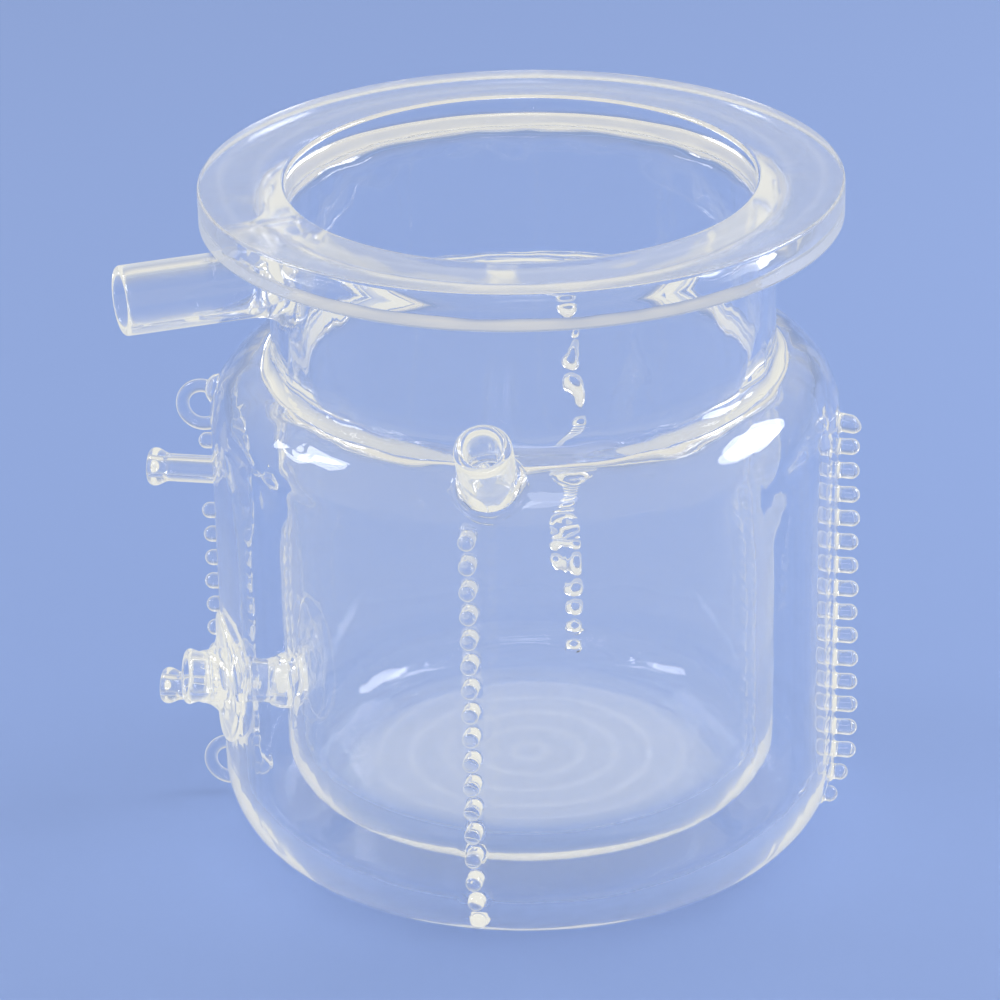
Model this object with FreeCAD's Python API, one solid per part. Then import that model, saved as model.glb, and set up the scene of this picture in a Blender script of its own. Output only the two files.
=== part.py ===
import FreeCAD
import Part
import math
import os

# Jacketed photoreactor of clear fused quartz: a flanged vessel sealed inside an outer jacket.
# Millimetres, +Z up, origin at the centre of the flat underside, front of the reactor towards -Y.
# An angle round the vessel is in degrees from the front towards +X.
# Every piece is fused to its neighbours, so they meet face to face and nothing moves.

# Vessel, whose straight tube runs from the base corner up to the mouth
height = 222.0
vessel_r = 79.0
vessel_wall = 6.0
vessel_corner_r = 18.5
mouth_round = 1.5

# Flange that takes the lid
flange_reach = 21.0
flange_thick = 12.0
flange_edge_round = 1.0
flange_weld_leg = 5.0

# Jacket, the water space round the vessel and under it, and the neck left free above the shoulder
water_gap = 13.75
jacket_wall = 6.5
jacket_corner_r = 26.0
neck_height = 58.3
water_gap_under_vessel = 11.5
neck_weld_leg = 3.0

# Side tube on the neck, close under the flange
side_tube_angle = -61.0
side_tube_r = 10.8
side_tube_bore_r = 8.0
side_tube_length = 50.0
side_tube_under_flange = 0.2
side_tube_weld_r = 16.0
side_tube_weld_height = 10.0

# Filling port on the shoulder, square to the shoulder's curve
shoulder_port_angle = 3.2
shoulder_port_tilt = 50.0
shoulder_port_r = 8.8
shoulder_port_bore_r = 5.5
shoulder_port_length = 22.0
shoulder_port_weld_r = 11.85
shoulder_port_weld_height = 7.0

# Sampling port that passes through the jacket into the vessel
sampling_angle = -68.5
sampling_tilt = 7.5
sampling_rise = 34.5
sampling_bore_r = 5.5
sampling_root_r = 8.4
sampling_neck_r = 8.0
sampling_mouth_r = 8.9
sampling_length = 12.9
sampling_pad_r = 21.0
sampling_pad_thick = 1.5
sampling_pad_slope = 2.0
sampling_flare_r = 15.0
sampling_flare_height = 7.0
inner_tube_r = 7.0
inner_tube_flare = 1.0

# Hose nipples on the left side, water in below and out above
nipple_angle = -90.0
nipple_r = 4.5
nipple_bore_r = 2.5
nipple_mouth_round = 0.8
nipple_bead_width = 5.4
nipple_bead_round = 1.2
nipple_weld_r = 6.5
nipple_weld_height = 3.0
upper_nipple_drop = 27.15
upper_nipple_length = 24.05
upper_nipple_bead_r = 6.2
lower_nipple_rise = 11.4
lower_nipple_length = 23.55
lower_nipple_bead_r = 6.0

# Eyelets of bent rod, one under the shoulder and one on the base corner
eyelet_angle = -90.0
eyelet_rod_r = 2.15
eyelet_bend_r = 6.6
eyelet_stand_off = 5.4
upper_eyelet_drop = 4.45
lower_eyelet_slope = 27.6
blob_r = 5.0
blob_sink = 0.75
blob_rise = 1.0

# Pegs that hold the windings round the jacket
peg_r = 2.65
peg_reach = 7.75
corner_peg_reach = 5.4
peg_pitch = 8.2
peg_above_shoulder_start = 0.95
lowest_peg_z = 13.0
front_row_angle = 0.0
right_row_angle = 90.0
back_row_angle = 180.0
left_row_angle = -90.0
left_pitch = 8.4
left_run_under_nipple = 14.4
left_run_over_nipple = 10.0

# Rim that the melted collars keep at their edge
weld_rim = 0.3

# Sizes that follow from those above
vessel_bore_r = vessel_r - vessel_wall
jacket_bore_r = vessel_r + water_gap
jacket_r = jacket_bore_r + jacket_wall
flange_r = vessel_r + flange_reach
flange_under_z = height - flange_thick
shoulder_bore_r = water_gap
shoulder_r = water_gap + jacket_wall
shoulder_z = height - neck_height - shoulder_r
vessel_under_z = jacket_wall + water_gap_under_vessel
vessel_tube_z = vessel_under_z + vessel_corner_r
side_tube_z = flange_under_z - side_tube_r - side_tube_under_flange
sampling_z = jacket_corner_r + sampling_rise
upper_nipple_z = shoulder_z - upper_nipple_drop
lower_nipple_z = jacket_corner_r + lower_nipple_rise
upper_eyelet_z = shoulder_z - upper_eyelet_drop
eyelet_outer_r = eyelet_bend_r + eyelet_rod_r

# The neck weld's fillet touches the shoulder's curve where both have one tangent
neck_weld_rise = math.sqrt((shoulder_r + neck_weld_leg) ** 2 - neck_weld_leg ** 2)
neck_weld_meet = math.degrees(math.atan2(neck_weld_rise, neck_weld_leg))

V = FreeCAD.Vector
UP = V(0, 0, 1)


def around(centre, radius, start, end):
    """The middle and the end of an arc, with its angles in degrees up from the outward direction."""
    ends = []
    for angle in ((start + end) / 2, end):
        a = math.radians(angle)
        ends.append((centre[0] + radius * math.cos(a), centre[1] + radius * math.sin(a)))
    return tuple(ends)


def hollow_curve(start, end):
    """A concave curve between two points, bent towards the corner below the second one."""
    bend = 1 - math.sqrt(0.5)
    middle = (end[0] + (start[0] - end[0]) * bend, start[1] + (end[1] - start[1]) * bend)
    return (middle, end)


def turned(outline):
    """Turn a closed outline of (radius, height) points round the Z axis.

    Each step is the end of a straight line, or the middle and the end of an arc.
    """
    edges = []
    here = outline[0]
    for step in outline[1:] + [outline[0]]:
        if isinstance(step[0], tuple):
            middle, end = step
            points = [V(r, 0, z) for r, z in (here, middle, end)]
            edges.append(Part.Arc(*points).toShape())
        else:
            end = step
            if end != here:
                edges.append(Part.makeLine(V(here[0], 0, here[1]), V(end[0], 0, end[1])))
        here = end
    return Part.Face(Part.Wire(edges)).revolve(V(0, 0, 0), UP, 360)


def at_wall(shape, angle, radius, z, tilt=0.0):
    """Stand a turned shape on a wall point, with its own axis pointing out and tilted up."""
    a = math.radians(angle)
    t = math.radians(tilt)
    out = V(math.sin(a), -math.cos(a), 0)
    place = FreeCAD.Placement(out * radius + UP * z, FreeCAD.Rotation(UP, out * math.cos(t) + UP * math.sin(t)))
    moved = shape.copy()
    moved.Placement = place
    return moved


def sag(wall_r, reach):
    """How far a round wall falls away from its tangent plane at a sideways distance."""
    return wall_r - math.sqrt(wall_r ** 2 - reach ** 2)


def jacket_wall_r(z):
    """Outer radius of the jacket at a height."""
    if z < jacket_corner_r:
        return jacket_r - sag(jacket_corner_r, jacket_corner_r - z)
    if z > shoulder_z:
        return jacket_r - sag(shoulder_r, z - shoulder_z)
    return jacket_r


def open_tube(bore_r, outer_r, bottom, top):
    """A straight tube whose mouth is melted to a round lip."""
    lip = (outer_r - bore_r) / 2
    return turned([
        (bore_r, bottom),
        (outer_r, bottom),
        (outer_r, top - lip),
        around((bore_r + lip, top - lip), lip, 0, 180),
    ])


def collar(bore_r, tube_r, weld_r, foot, height_up, depth):
    """Melted collar round the root of a tube, still to be cut by the wall and the tube."""
    return turned([
        (bore_r, -depth),
        (weld_r, -depth),
        (weld_r, foot),
        hollow_curve((weld_r, foot), (tube_r, height_up)),
        (bore_r, height_up),
    ])


def drill(radius, top, bottom):
    """A cutter for the bore of a tube, along the tube's own axis."""
    return Part.makeCylinder(radius, top - bottom, V(0, 0, bottom))


def jacket_form():
    """The jacket's outer form, filled, which trims what stands on the jacket."""
    corner = (jacket_r - jacket_corner_r, jacket_corner_r)
    return turned([
        (0, 0),
        (corner[0], 0),
        around(corner, jacket_corner_r, -90, 0),
        (jacket_r, shoulder_z),
        around((vessel_r, shoulder_z), shoulder_r, 0, 90),
        (0, shoulder_z + shoulder_r),
    ])


def vessel_form():
    """The vessel's outer cylinder, filled, which trims what stands on the neck."""
    return Part.makeCylinder(vessel_r, height)


def top_flange():
    round_r = flange_edge_round
    return turned([
        (vessel_r, flange_under_z),
        (flange_r - round_r, flange_under_z),
        around((flange_r - round_r, flange_under_z + round_r), round_r, -90, 0),
        (flange_r, height - round_r),
        around((flange_r - round_r, height - round_r), round_r, 0, 90),
        (vessel_r, height),
    ])


def flange_weld():
    return turned([
        (vessel_r, flange_under_z),
        (vessel_r, flange_under_z - flange_weld_leg),
        around((vessel_r + flange_weld_leg, flange_under_z - flange_weld_leg), flange_weld_leg, 180, 90),
    ])


def vessel_tube():
    return turned([
        (vessel_bore_r, vessel_tube_z),
        (vessel_r, vessel_tube_z),
        (vessel_r, height),
        (vessel_bore_r + mouth_round, height),
        around((vessel_bore_r + mouth_round, height - mouth_round), mouth_round, 90, 180),
    ])


def vessel_base():
    centre = (vessel_r - vessel_corner_r, vessel_tube_z)
    return turned([
        (0, vessel_under_z),
        (centre[0], vessel_under_z),
        around(centre, vessel_corner_r, -90, 0),
        (vessel_bore_r, vessel_tube_z),
        around(centre, vessel_corner_r - vessel_wall, 0, -90),
        (0, vessel_under_z + vessel_wall),
    ])


def jacket_base():
    centre = (jacket_r - jacket_corner_r, jacket_corner_r)
    return turned([
        (0, 0),
        (centre[0], 0),
        around(centre, jacket_corner_r, -90, 0),
        (jacket_bore_r, jacket_corner_r),
        around(centre, jacket_corner_r - jacket_wall, 0, -90),
        (0, jacket_wall),
    ])


def jacket_tube():
    return turned([
        (jacket_bore_r, jacket_corner_r),
        (jacket_r, jacket_corner_r),
        (jacket_r, shoulder_z),
        (jacket_bore_r, shoulder_z),
    ])


def jacket_shoulder():
    centre = (vessel_r, shoulder_z)
    seam = around(centre, shoulder_bore_r, 0, neck_weld_meet)[1]
    return turned([
        (jacket_r, shoulder_z),
        around(centre, shoulder_r, 0, neck_weld_meet),
        seam,
        around(centre, shoulder_bore_r, neck_weld_meet, 0),
    ])


def neck_weld():
    """The melted ring where the shoulder's edge joins the neck, through the whole wall."""
    centre = (vessel_r, shoulder_z)
    fillet = (vessel_r + neck_weld_leg, shoulder_z + neck_weld_rise)
    return turned([
        (vessel_r, shoulder_z + shoulder_bore_r),
        around(centre, shoulder_bore_r, 90, neck_weld_meet),
        around(centre, shoulder_r, 90, neck_weld_meet)[1],
        around(fillet, neck_weld_leg, 180 + neck_weld_meet, 180),
    ])


def on_neck(shape):
    """Place a shape on the side tube's axis."""
    return at_wall(shape, side_tube_angle, vessel_r, side_tube_z)


def side_tube():
    depth = sag(vessel_r, side_tube_r)
    tube = open_tube(side_tube_bore_r, side_tube_r, -2 * depth, side_tube_length)
    return on_neck(tube).cut(vessel_form())


def side_tube_weld(tube):
    fall = sag(vessel_r, side_tube_weld_r)
    ring = collar(
        side_tube_bore_r, side_tube_r, side_tube_weld_r, weld_rim - fall, side_tube_weld_height, 2 * fall
    )
    return on_neck(ring).cut([vessel_form(), tube, top_flange(), flange_weld()])


def on_shoulder(shape):
    """Place a shape square to the shoulder's curve."""
    t = math.radians(shoulder_port_tilt)
    r = vessel_r + shoulder_r * math.cos(t)
    z = shoulder_z + shoulder_r * math.sin(t)
    return at_wall(shape, shoulder_port_angle, r, z, shoulder_port_tilt)


def shoulder_port():
    depth = sag(shoulder_r, shoulder_port_r)
    tube = open_tube(shoulder_port_bore_r, shoulder_port_r, -2 * depth, shoulder_port_length)
    return on_shoulder(tube).cut(jacket_form())


def shoulder_port_weld(tube):
    fall = sag(shoulder_r, shoulder_port_weld_r)
    ring = collar(
        shoulder_port_bore_r,
        shoulder_port_r,
        shoulder_port_weld_r,
        weld_rim - fall / 2,
        shoulder_port_weld_height,
        fall + weld_rim,
    )
    return on_shoulder(ring).cut([jacket_form(), tube, vessel_form(), neck_weld()])


def on_sampling_axis(shape):
    """Place a shape on the sampling port's axis, with its zero on the jacket's outer surface."""
    return at_wall(shape, sampling_angle, jacket_r, sampling_z, sampling_tilt)


def lean(reach):
    """How far the wall departs from square to the sampling axis at a sideways distance."""
    return sag(jacket_r, reach) + reach * math.tan(math.radians(sampling_tilt))


def sampling_port():
    lip = (sampling_mouth_r - sampling_bore_r) / 2
    bottom = -2 * lean(sampling_root_r)
    waist = (sampling_neck_r, sampling_length / 2)
    tube = turned([
        (sampling_bore_r, bottom),
        (sampling_root_r, bottom),
        (sampling_root_r, 0),
        (waist, (sampling_mouth_r, sampling_length - lip)),
        around((sampling_bore_r + lip, sampling_length - lip), lip, 0, 180),
    ])
    return on_sampling_axis(tube).cut(jacket_form())


def sampling_port_pad(tube):
    depth = lean(sampling_pad_r)
    disc = Part.makeCone(
        sampling_pad_r + depth, sampling_pad_r - sampling_pad_slope, 2 * depth, V(0, 0, -depth)
    )
    skin = Part.makeCylinder(jacket_r + sampling_pad_thick, shoulder_z)
    fall = lean(sampling_flare_r)
    flare = collar(
        sampling_bore_r, sampling_root_r, sampling_flare_r, weld_rim - fall, sampling_flare_height, fall + weld_rim
    )
    pad = on_sampling_axis(disc).common(skin).fuse(on_sampling_axis(flare))
    through = on_sampling_axis(drill(sampling_bore_r, sampling_flare_height, -3 * depth))
    return pad.cut([jacket_form(), tube, through]).removeSplitter()


def sampling_port_inner_tube():
    span = (jacket_bore_r - vessel_r) / math.cos(math.radians(sampling_tilt))
    start = -jacket_wall / math.cos(math.radians(sampling_tilt))
    end = start - span
    spare = lean(inner_tube_r + inner_tube_flare)
    flared_r = inner_tube_r + inner_tube_flare
    tube = turned([
        (sampling_bore_r, end - spare),
        (flared_r, end - spare),
        (flared_r, end),
        ((inner_tube_r, (start + end) / 2), (flared_r, start)),
        (flared_r, start + spare),
        (sampling_bore_r, start + spare),
    ])
    water_space = Part.makeCylinder(jacket_bore_r, shoulder_z)
    return on_sampling_axis(tube).common(water_space).cut(vessel_form())


def nipple(length, bead_r, z):
    """Short hose tube with a melted bead at its end."""
    back = length - nipple_bead_width
    edge = nipple_bead_round
    lip = nipple_mouth_round
    depth = sag(jacket_r, nipple_r)
    tube = turned([
        (nipple_bore_r, -2 * depth),
        (nipple_r, -2 * depth),
        (nipple_r, back),
        (bead_r - edge, back),
        around((bead_r - edge, back + edge), edge, -90, 0),
        (bead_r, length - edge),
        around((bead_r - edge, length - edge), edge, 0, 90),
        (nipple_bore_r + lip, length),
        around((nipple_bore_r + lip, length - lip), lip, 90, 180),
    ])
    return at_wall(tube, nipple_angle, jacket_r, z).cut(jacket_form())


def nipple_weld(tube, z):
    fall = sag(jacket_r, nipple_weld_r)
    ring = collar(
        nipple_bore_r, nipple_r, nipple_weld_r, weld_rim - fall, nipple_weld_height, 2 * fall
    )
    return at_wall(ring, nipple_angle, jacket_r, z).cut([jacket_form(), tube])


def eyelet_ring(r, z):
    """Rod bent to a ring that stands upright and points straight out from the wall."""
    a = math.radians(eyelet_angle)
    out = V(math.sin(a), -math.cos(a), 0)
    return Part.makeTorus(eyelet_bend_r, eyelet_rod_r, out * r + UP * z, out.cross(UP))


def upper_eyelet():
    ring = eyelet_ring(jacket_r + eyelet_stand_off, upper_eyelet_z)
    a = math.radians(eyelet_angle)
    blob_at = V(math.sin(a), -math.cos(a), 0) * (jacket_r - blob_sink) + UP * (shoulder_z + blob_rise)
    return ring.fuse(Part.makeSphere(blob_r, blob_at)).cut(jacket_form()).removeSplitter()


def lower_eyelet_place():
    """Radius and height of the lower eyelet's centre, off the curve of the base corner."""
    slope = math.radians(lower_eyelet_slope)
    off = jacket_corner_r + eyelet_stand_off
    return jacket_r - jacket_corner_r + off * math.cos(slope), jacket_corner_r - off * math.sin(slope)


def lower_eyelet():
    return eyelet_ring(*lower_eyelet_place()).cut(jacket_form())


def peg(angle, z, form):
    """One solid rod with a round tip, standing out level from the jacket."""
    reach = peg_reach if z >= jacket_corner_r else corner_peg_reach
    rod = turned([
        (0, -jacket_wall),
        (peg_r, -jacket_wall),
        (peg_r, reach - peg_r),
        around((0, reach - peg_r), peg_r, 0, 90),
    ])
    return at_wall(rod, angle, jacket_wall_r(z), z).cut(form)


def peg_row(angle, heights):
    form = jacket_form()
    return Part.makeCompound([peg(angle, z, form) for z in heights])


def steps_down(top, bottom, pitch):
    """Evenly spaced heights from the top one down, none below the bottom."""
    count = int((top - bottom) / pitch) + 1
    return [top - pitch * i for i in range(count)]


def full_row_heights():
    return steps_down(shoulder_z + peg_above_shoulder_start, lowest_peg_z, peg_pitch)


def left_row_heights():
    """A run of pegs between the nipples, and one peg midway between each nipple and its eyelet."""
    eyelet_z = lower_eyelet_place()[1]
    upper = (upper_nipple_z + nipple_weld_r + upper_eyelet_z - eyelet_outer_r) / 2
    lower = (lower_nipple_z - nipple_weld_r + eyelet_z + eyelet_outer_r) / 2
    run_top = upper_nipple_z - left_run_under_nipple
    run_bottom = lower_nipple_z + left_run_over_nipple
    return [upper] + steps_down(run_top, run_bottom, left_pitch) + [lower]


def bored_vessel_tube():
    side_bore = on_neck(drill(side_tube_bore_r, side_tube_length, -2 * vessel_wall))
    through = (jacket_r - vessel_bore_r) / math.cos(math.radians(sampling_tilt)) + vessel_wall
    sampling_bore = on_sampling_axis(drill(sampling_bore_r, sampling_length, -through))
    return vessel_tube().cut([side_bore, sampling_bore])


def bored_jacket_tube():
    bores = [on_sampling_axis(drill(sampling_bore_r, sampling_length, -2 * jacket_wall))]
    for z in (upper_nipple_z, lower_nipple_z):
        bores.append(at_wall(drill(nipple_bore_r, jacket_wall, -2 * jacket_wall), nipple_angle, jacket_r, z))
    return jacket_tube().cut(bores)


def bored_jacket_shoulder():
    bore = on_shoulder(drill(shoulder_port_bore_r, shoulder_port_length, -1.5 * jacket_wall))
    return jacket_shoulder().cut(bore)


def build():
    """Every piece by its node's name."""
    side = side_tube()
    filling = shoulder_port()
    sampling = sampling_port()
    upper = nipple(upper_nipple_length, upper_nipple_bead_r, upper_nipple_z)
    lower = nipple(lower_nipple_length, lower_nipple_bead_r, lower_nipple_z)
    return {
        "top_flange": top_flange(),
        "flange_weld": flange_weld().cut(on_neck(drill(side_tube_r, side_tube_length, -vessel_wall))),
        "vessel_tube": bored_vessel_tube(),
        "vessel_base": vessel_base(),
        "neck_weld": neck_weld(),
        "jacket_shoulder": bored_jacket_shoulder(),
        "jacket_tube": bored_jacket_tube(),
        "jacket_base": jacket_base(),
        "side_tube": side,
        "side_tube_weld": side_tube_weld(side),
        "shoulder_port": filling,
        "shoulder_port_weld": shoulder_port_weld(filling),
        "sampling_port": sampling,
        "sampling_port_pad": sampling_port_pad(sampling),
        "sampling_port_inner_tube": sampling_port_inner_tube(),
        "upper_nipple": upper,
        "upper_nipple_weld": nipple_weld(upper, upper_nipple_z),
        "lower_nipple": lower,
        "lower_nipple_weld": nipple_weld(lower, lower_nipple_z),
        "upper_eyelet": upper_eyelet(),
        "lower_eyelet": lower_eyelet(),
        "front_pegs": peg_row(front_row_angle, full_row_heights()),
        "right_pegs": peg_row(right_row_angle, full_row_heights()),
        "back_pegs": peg_row(back_row_angle, full_row_heights()),
        "left_pegs": peg_row(left_row_angle, left_row_heights()),
    }


os.makedirs("parts", exist_ok=True)
for node, shape in build().items():
    shape.exportStep(f"parts/{node}.step")
    print(node, len(shape.Solids), round(shape.Volume, 1), shape.isValid())
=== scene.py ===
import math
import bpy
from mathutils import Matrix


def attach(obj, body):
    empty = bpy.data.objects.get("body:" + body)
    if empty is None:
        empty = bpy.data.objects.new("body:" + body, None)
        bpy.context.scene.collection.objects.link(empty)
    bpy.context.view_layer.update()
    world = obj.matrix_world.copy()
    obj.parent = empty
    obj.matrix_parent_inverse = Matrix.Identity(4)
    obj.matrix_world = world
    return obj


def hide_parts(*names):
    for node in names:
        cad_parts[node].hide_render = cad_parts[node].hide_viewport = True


bl_info = {
    "name": "Quartz photoreactor",
    "version": (1, 0, 0),
    "blender": (4, 5, 0),
    "location": "3D View > Sidebar > Reactor",
    "description": "Jacketed photoreactor of clear fused quartz, melted together piece by piece on its CAD frame",
    "category": "Object",
}

import bmesh
import bpy
from bpy.props import FloatProperty, FloatVectorProperty, IntProperty, PointerProperty
from mathutils import Matrix, Vector, noise

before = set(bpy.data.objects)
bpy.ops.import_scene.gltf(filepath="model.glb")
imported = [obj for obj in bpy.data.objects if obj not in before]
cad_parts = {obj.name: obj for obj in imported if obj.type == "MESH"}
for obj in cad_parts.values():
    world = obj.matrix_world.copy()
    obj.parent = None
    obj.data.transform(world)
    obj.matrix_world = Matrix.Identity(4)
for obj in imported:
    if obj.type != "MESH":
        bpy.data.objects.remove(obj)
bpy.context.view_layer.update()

MM = 0.001
BODY = "quartz_body"

# how many steps round the vessel and jacket are turned in, and the space between the points of a straight run,
# which lets melted walls wander
BODY_STEPS = 192
FINE_RUN = 2 * MM
RUN = 4 * MM
WATER_RUN = 4.5 * MM
BASE_RUN = 6 * MM
# how far a cutter runs on past the wall that it bores through
PAST = 3 * MM
PAST_JACKET = 2 * MM

# the lapped top, the foot and all that stands out of the jacket stay true. Elsewhere melted walls wander in patches
# of this size, differently on a wall's two faces, and a little also far from the welds
TRUE_TOP = 3 * MM
TRUE_BASE = 0.4 * MM
TRUE_SIDE = 1 * MM
PATCH = 17 * MM
FACES_APART = 1.7
EVERYWHERE = 0.05

# patterns of the quartz: draw lines and burner's waves to the metre, and the lathe rings' spacing
LINES = 160.0
WAVES = 66.0
RING_PITCH = 11 * MM
RING_REPEAT = 0.314  # a wave texture of scale 1 repeats after this many metres
# how much of a lamp's light goes on through the glass, and of the light that leaves the walls
LAMP_LIGHT = 0.93
LEAVING_LIGHT = 0.97

# the stage: the floor's radius, how far it lies under the base, and the studio's strength
FLOOR_RADIUS = 6.0
FLOOR_GAP = 0.1 * MM
STUDIO_STRENGTH = 0.85

# the photograph's view: a long lens, 24 degrees above the object, a little to its right
VIEW_TURN = math.radians(10)
VIEW_RISE = math.radians(24.4156)
VIEW_ROLL = math.radians(-0.984)
VIEW_REACH = 1.4485
VIEW_HEIGHT = 0.11
# in pixels of a picture 1000 wide: the focal length, and how far right of and under the axis the object stands
PICTURE = 1000
FOCAL = 4542.1
ASIDE = 26.42
BELOW = 5.19
SENSOR = 36.0


def linear(code):
    """An sRGB hex colour as linear red, green and blue."""
    parts = [int(code[i : i + 2], 16) / 255 for i in (1, 3, 5)]
    return tuple(c / 12.92 if c <= 0.04045 else ((c + 0.055) / 1.055) ** 2.4 for c in parts)


def length(name, description, millimetres):
    """A size that a user may change, shown in the scene's units."""
    return FloatProperty(
        name=name, description=description, default=millimetres * MM, min=0.0, precision=5, unit="LENGTH"
    )


def turn_angle(name, description, degrees):
    """An angle that a user may change."""
    return FloatProperty(name=name, description=description, default=math.radians(degrees), subtype="ANGLE")


def colour(name, description, code):
    """A colour that a user may change."""
    return FloatVectorProperty(
        name=name, description=description, default=linear(code), min=0.0, max=1.0, subtype="COLOR"
    )


def share(name, description, value, top=1.0):
    """A plain number that a user may change."""
    return FloatProperty(name=name, description=description, default=value, min=0.0, max=top)


class VesselSizes(bpy.types.PropertyGroup):
    height: length("Height", "From the floor to the flange's top", 222)
    radius: length("Radius", "Outer radius of the vessel's tube", 79)
    wall: length("Wall", "Wall of the vessel", 6)
    corner: length("Corner", "Outer radius of the vessel's bottom corner", 18.5)
    under: length("Underside", "Height of the vessel's underside", 18)
    fill: length("Corner fill", "How much rounder the corner is inside, where the glass has gathered", 3)
    mouth: length("Mouth round", "Rounding of the mouth's inner edge", 1.5)
    flange_radius: length("Flange radius", "Outer radius of the flange", 100)
    flange_thickness: length("Flange thickness", "Thickness of the flange plate", 12)
    flange_edge: length("Flange edge", "Rounding of the flange's edges", 1)
    flange_weld: length("Flange weld", "Leg of the melted fillet under the flange", 5)


class JacketSizes(bpy.types.PropertyGroup):
    radius: length("Radius", "Outer radius of the jacket", 99.25)
    wall: length("Wall", "Wall of the jacket", 6.5)
    corner: length("Corner", "Outer radius of the base corner", 26)
    shoulder: length("Shoulder start", "Height at which the shoulder starts to curve in", 143.45)
    weld: length("Neck weld", "Radius of the melted fillet between shoulder and neck", 4.5)
    inner_weld: length("Inner neck weld", "Radius of the same fillet on the water's side", 2.5)
    fill: length("Corner fill", "How much rounder the base corner is inside, where the glass has gathered", 2.5)


class SideTubeSizes(bpy.types.PropertyGroup):
    angle: turn_angle("Angle", "Round the vessel from the front", -61)
    height: length("Height", "Height of the tube's axis", 199)
    radius: length("Radius", "Outer radius", 10.8)
    bore: length("Bore", "Radius of the bore", 8)
    reach: length("Length", "From the neck's wall to the mouth", 50)
    foot: length("Weld radius", "Radius of the melted collar", 16)
    foot_height: length("Weld height", "Height of the melted collar", 10)


class ShoulderPortSizes(bpy.types.PropertyGroup):
    angle: turn_angle("Angle", "Round the vessel from the front", 3.2)
    tilt: turn_angle("Tilt", "Of the axis above level, which is square to the shoulder", 50)
    radius: length("Radius", "Outer radius", 8.8)
    bore: length("Bore", "Radius of the bore", 5.5)
    reach: length("Length", "From the shoulder to the mouth", 22)
    foot: length("Weld radius", "Radius of the melted collar", 11.85)
    foot_height: length("Weld height", "Height of the melted collar", 7)


class SamplingPortSizes(bpy.types.PropertyGroup):
    angle: turn_angle("Angle", "Round the vessel from the front", -68.5)
    tilt: turn_angle("Tilt", "Of the axis above level", 7.5)
    height: length("Height", "Height at which the axis leaves the jacket", 60.5)
    root: length("Root radius", "Outer radius where the tube leaves its collar", 8.4)
    neck: length("Neck radius", "Outer radius half way along", 8)
    mouth: length("Mouth radius", "Outer radius of the flared mouth", 8.9)
    bore: length("Bore", "Radius of the bore", 5.5)
    reach: length("Length", "From the jacket to the mouth", 12.9)
    pad: length("Pad radius", "Radius of the melted pad on the jacket", 21)
    pad_thickness: length("Pad thickness", "How far the pad stands out", 1.5)
    flare: length("Flare radius", "Radius of the collar on the pad", 15)
    flare_height: length("Flare height", "Height of the collar", 7)
    inner: length("Inner tube radius", "Outer radius of the tube that crosses the water space", 7)
    bulb: length("Inner tube bulge", "How far it swells where it meets the vessel", 2)


class NippleSizes(bpy.types.PropertyGroup):
    angle: turn_angle("Angle", "Round the vessel from the front", -90)
    radius: length("Radius", "Outer radius", 4.5)
    bore: length("Bore", "Radius of the bore", 2.5)
    upper_height: length("Upper height", "Height of the upper nipple", 116.3)
    upper_reach: length("Upper length", "Length of the upper nipple", 24.05)
    upper_bead: length("Upper bead", "Radius of the upper nipple's bead", 6.2)
    lower_height: length("Lower height", "Height of the lower nipple", 37.4)
    lower_reach: length("Lower length", "Length of the lower nipple", 23.55)
    lower_bead: length("Lower bead", "Radius of the lower nipple's bead", 6)
    bead_width: length("Bead width", "Width of the bead at the mouth", 5.4)
    foot: length("Weld radius", "Radius of the melted collar", 6.5)


class EyeletSizes(bpy.types.PropertyGroup):
    angle: turn_angle("Angle", "Round the vessel from the front", -90)
    rod: length("Rod radius", "Radius of the bent rod", 2.15)
    bend: length("Bend radius", "Radius of the ring's centre line", 6.6)
    stand_off: length("Stand-off", "From the wall to the ring's centre", 5.4)
    upper_height: length("Upper height", "Height of the upper ring's centre", 139)
    lower_slope: turn_angle("Lower slope", "Of the lower ring below level, on the base corner", 27.6)
    blob: length("Blob radius", "Radius of the melted drop over the upper ring", 5)


class PegSizes(bpy.types.PropertyGroup):
    radius: length("Radius", "Radius of the rods", 2.65)
    reach: length("Reach", "How far the longest pegs stand out", 7.75)
    corner_reach: length("Corner reach", "How far the pegs on the base corner stand out", 5.4)
    pitch: length("Pitch", "Between the pegs of the front, right and back rows", 8.2)
    top: length("Top peg", "Height of the highest peg", 144.4)
    count: IntProperty(name="Pegs in a row", description="In the front, right and back rows", default=17, min=1)
    left_top: length("Left run's top", "Height of the highest peg between the nipples", 101.9)
    left_pitch: length("Left pitch", "Between the pegs on the left", 8.4)
    left_count: IntProperty(name="Left run", description="Pegs between the nipples", default=7, min=1)
    unevenness: length("Unevenness", "How much shorter than the longest the hand-cut pegs may be", 1.2)


class QuartzFinish(bpy.types.PropertyGroup):
    colour: colour("Colour", "Of the clear quartz", "#FFFFFF")
    ior: share("Refraction index", "Of fused quartz", 1.458, 3.0)
    draw: length("Draw lines", "Depth of the faint upright lines of drawn tube", 0.04)
    waves: length("Waves", "Depth of the waves that the burner leaves", 0.05)
    rings: length("Lathe rings", "Depth of the rings on the lapped flange face and the vessel's floor", 0.0022)
    unevenness: length("Unevenness", "How far the melted walls wander near their welds", 0.5)
    haze: share("Haze", "Roughness of the lapped flange face and the vessel's floor", 0.17)
    bloom: share("Bloom", "How much light the same two faces scatter white", 0.07)
    # painted rim glow: how strongly the painted glow is mixed into the edges of the rods and tubes outside the jacket
    edges: share("Edge light", "How bright the edges of the rods and tubes outside the jacket come out", 0.8)
    # painted glow: the colour of an emission that stands in for light that rods and corners turn over, so these parts
    # glow though they are no lamp
    painted_glow: colour("Caught light", "Of light that rods and corners turn over until it comes out bright", "#ECECE5")


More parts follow.
